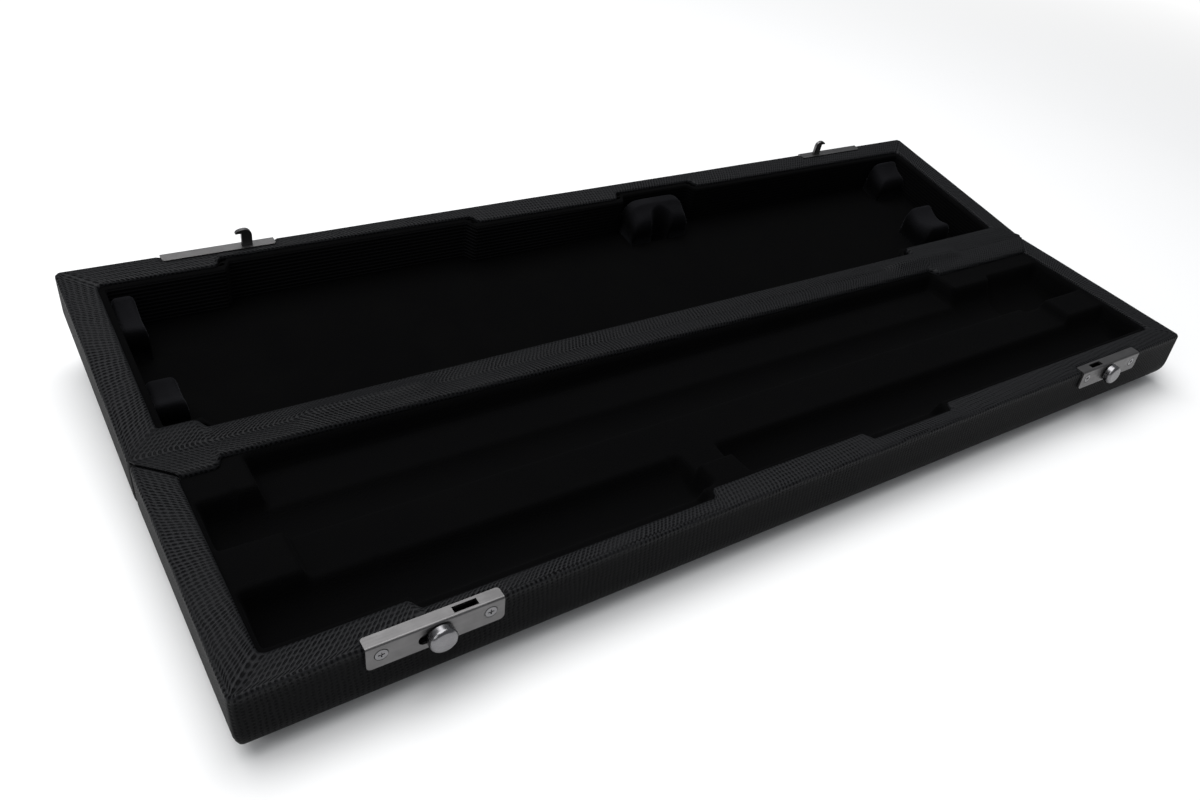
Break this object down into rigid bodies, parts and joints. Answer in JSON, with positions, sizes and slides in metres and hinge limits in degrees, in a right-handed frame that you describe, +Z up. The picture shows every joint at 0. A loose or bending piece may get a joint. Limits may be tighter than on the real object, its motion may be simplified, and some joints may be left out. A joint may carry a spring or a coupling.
{
  "type": "flute case",
  "caption": "Slim hinged hard case with fitted velvet wells for a three-piece flute, leatherette cover, padded lid and two sliding snap catches, shown open.",
  "frame": {"origin": "middle of the underside of the lower tray", "axes": "+X along the case to the viewer's right, +Y from the front wall with the catches to the hinges, +Z up"},
  "size_m": [0.395, 0.1923, 0.0431],
  "materials": {
    "foam": "matte",
    "leatherette": "satin",
    "nickel": "satin",
    "spring_steel": "satin",
    "velvet": "matte",
    "wood": "matte"
  },
  "bodies": {
    "base": {"base_shell": "wood", "base_cover": "leatherette", "base_former": "foam", "base_lining": "velvet", "base_hinge_left": "nickel", "base_hinge_right": "nickel", "hinge_pins": "nickel", "base_hinge_screws": "nickel", "hinge_strip_base": "leatherette", "catch_plate_left": "nickel", "catch_plate_right": "nickel", "catch_case_left": "nickel", "catch_case_right": "nickel", "catch_spring_left": "spring_steel", "catch_spring_right": "spring_steel", "catch_screws": "nickel"},
    "lid": {"lid_shell": "wood", "lid_cover": "leatherette", "lid_former": "foam", "lid_lining": "velvet", "lid_hinge_left": "nickel", "lid_hinge_right": "nickel", "lid_hinge_screws": "nickel", "hinge_strip_lid": "leatherette", "hook_plate_left": "nickel", "hook_plate_right": "nickel", "hook_left": "nickel", "hook_right": "nickel", "hook_plate_screws": "nickel", "pad_left_back": "velvet", "pad_left_front": "velvet", "pad_middle": "velvet", "pad_right_front": "velvet", "pad_right_back": "velvet"},
    "slider_left": {"bolt_left": "nickel", "knob_left": "nickel"},
    "slider_right": {"bolt_right": "nickel", "knob_right": "nickel"}
  },
  "joints": [
    {"name": "lid_hinge", "type": "hinge", "parent": "base", "child": "lid", "pos_m": [0, 0.0468, 0.0252], "axis": [1, 0, 0], "range_deg": [0, 173]},
    {"name": "knob_slide_left", "type": "slide", "parent": "base", "child": "slider_left", "axis": [-1, 0, 0], "range_m": [0, 0.004], "stiffness_N_per_m": 150, "springref_m": -0.003, "deforming": ["catch_spring_left"]},
    {"name": "knob_slide_right", "type": "slide", "parent": "base", "child": "slider_right", "axis": [1, 0, 0], "range_m": [0, 0.004], "stiffness_N_per_m": 150, "springref_m": -0.003, "deforming": ["catch_spring_right"]}
  ]
}
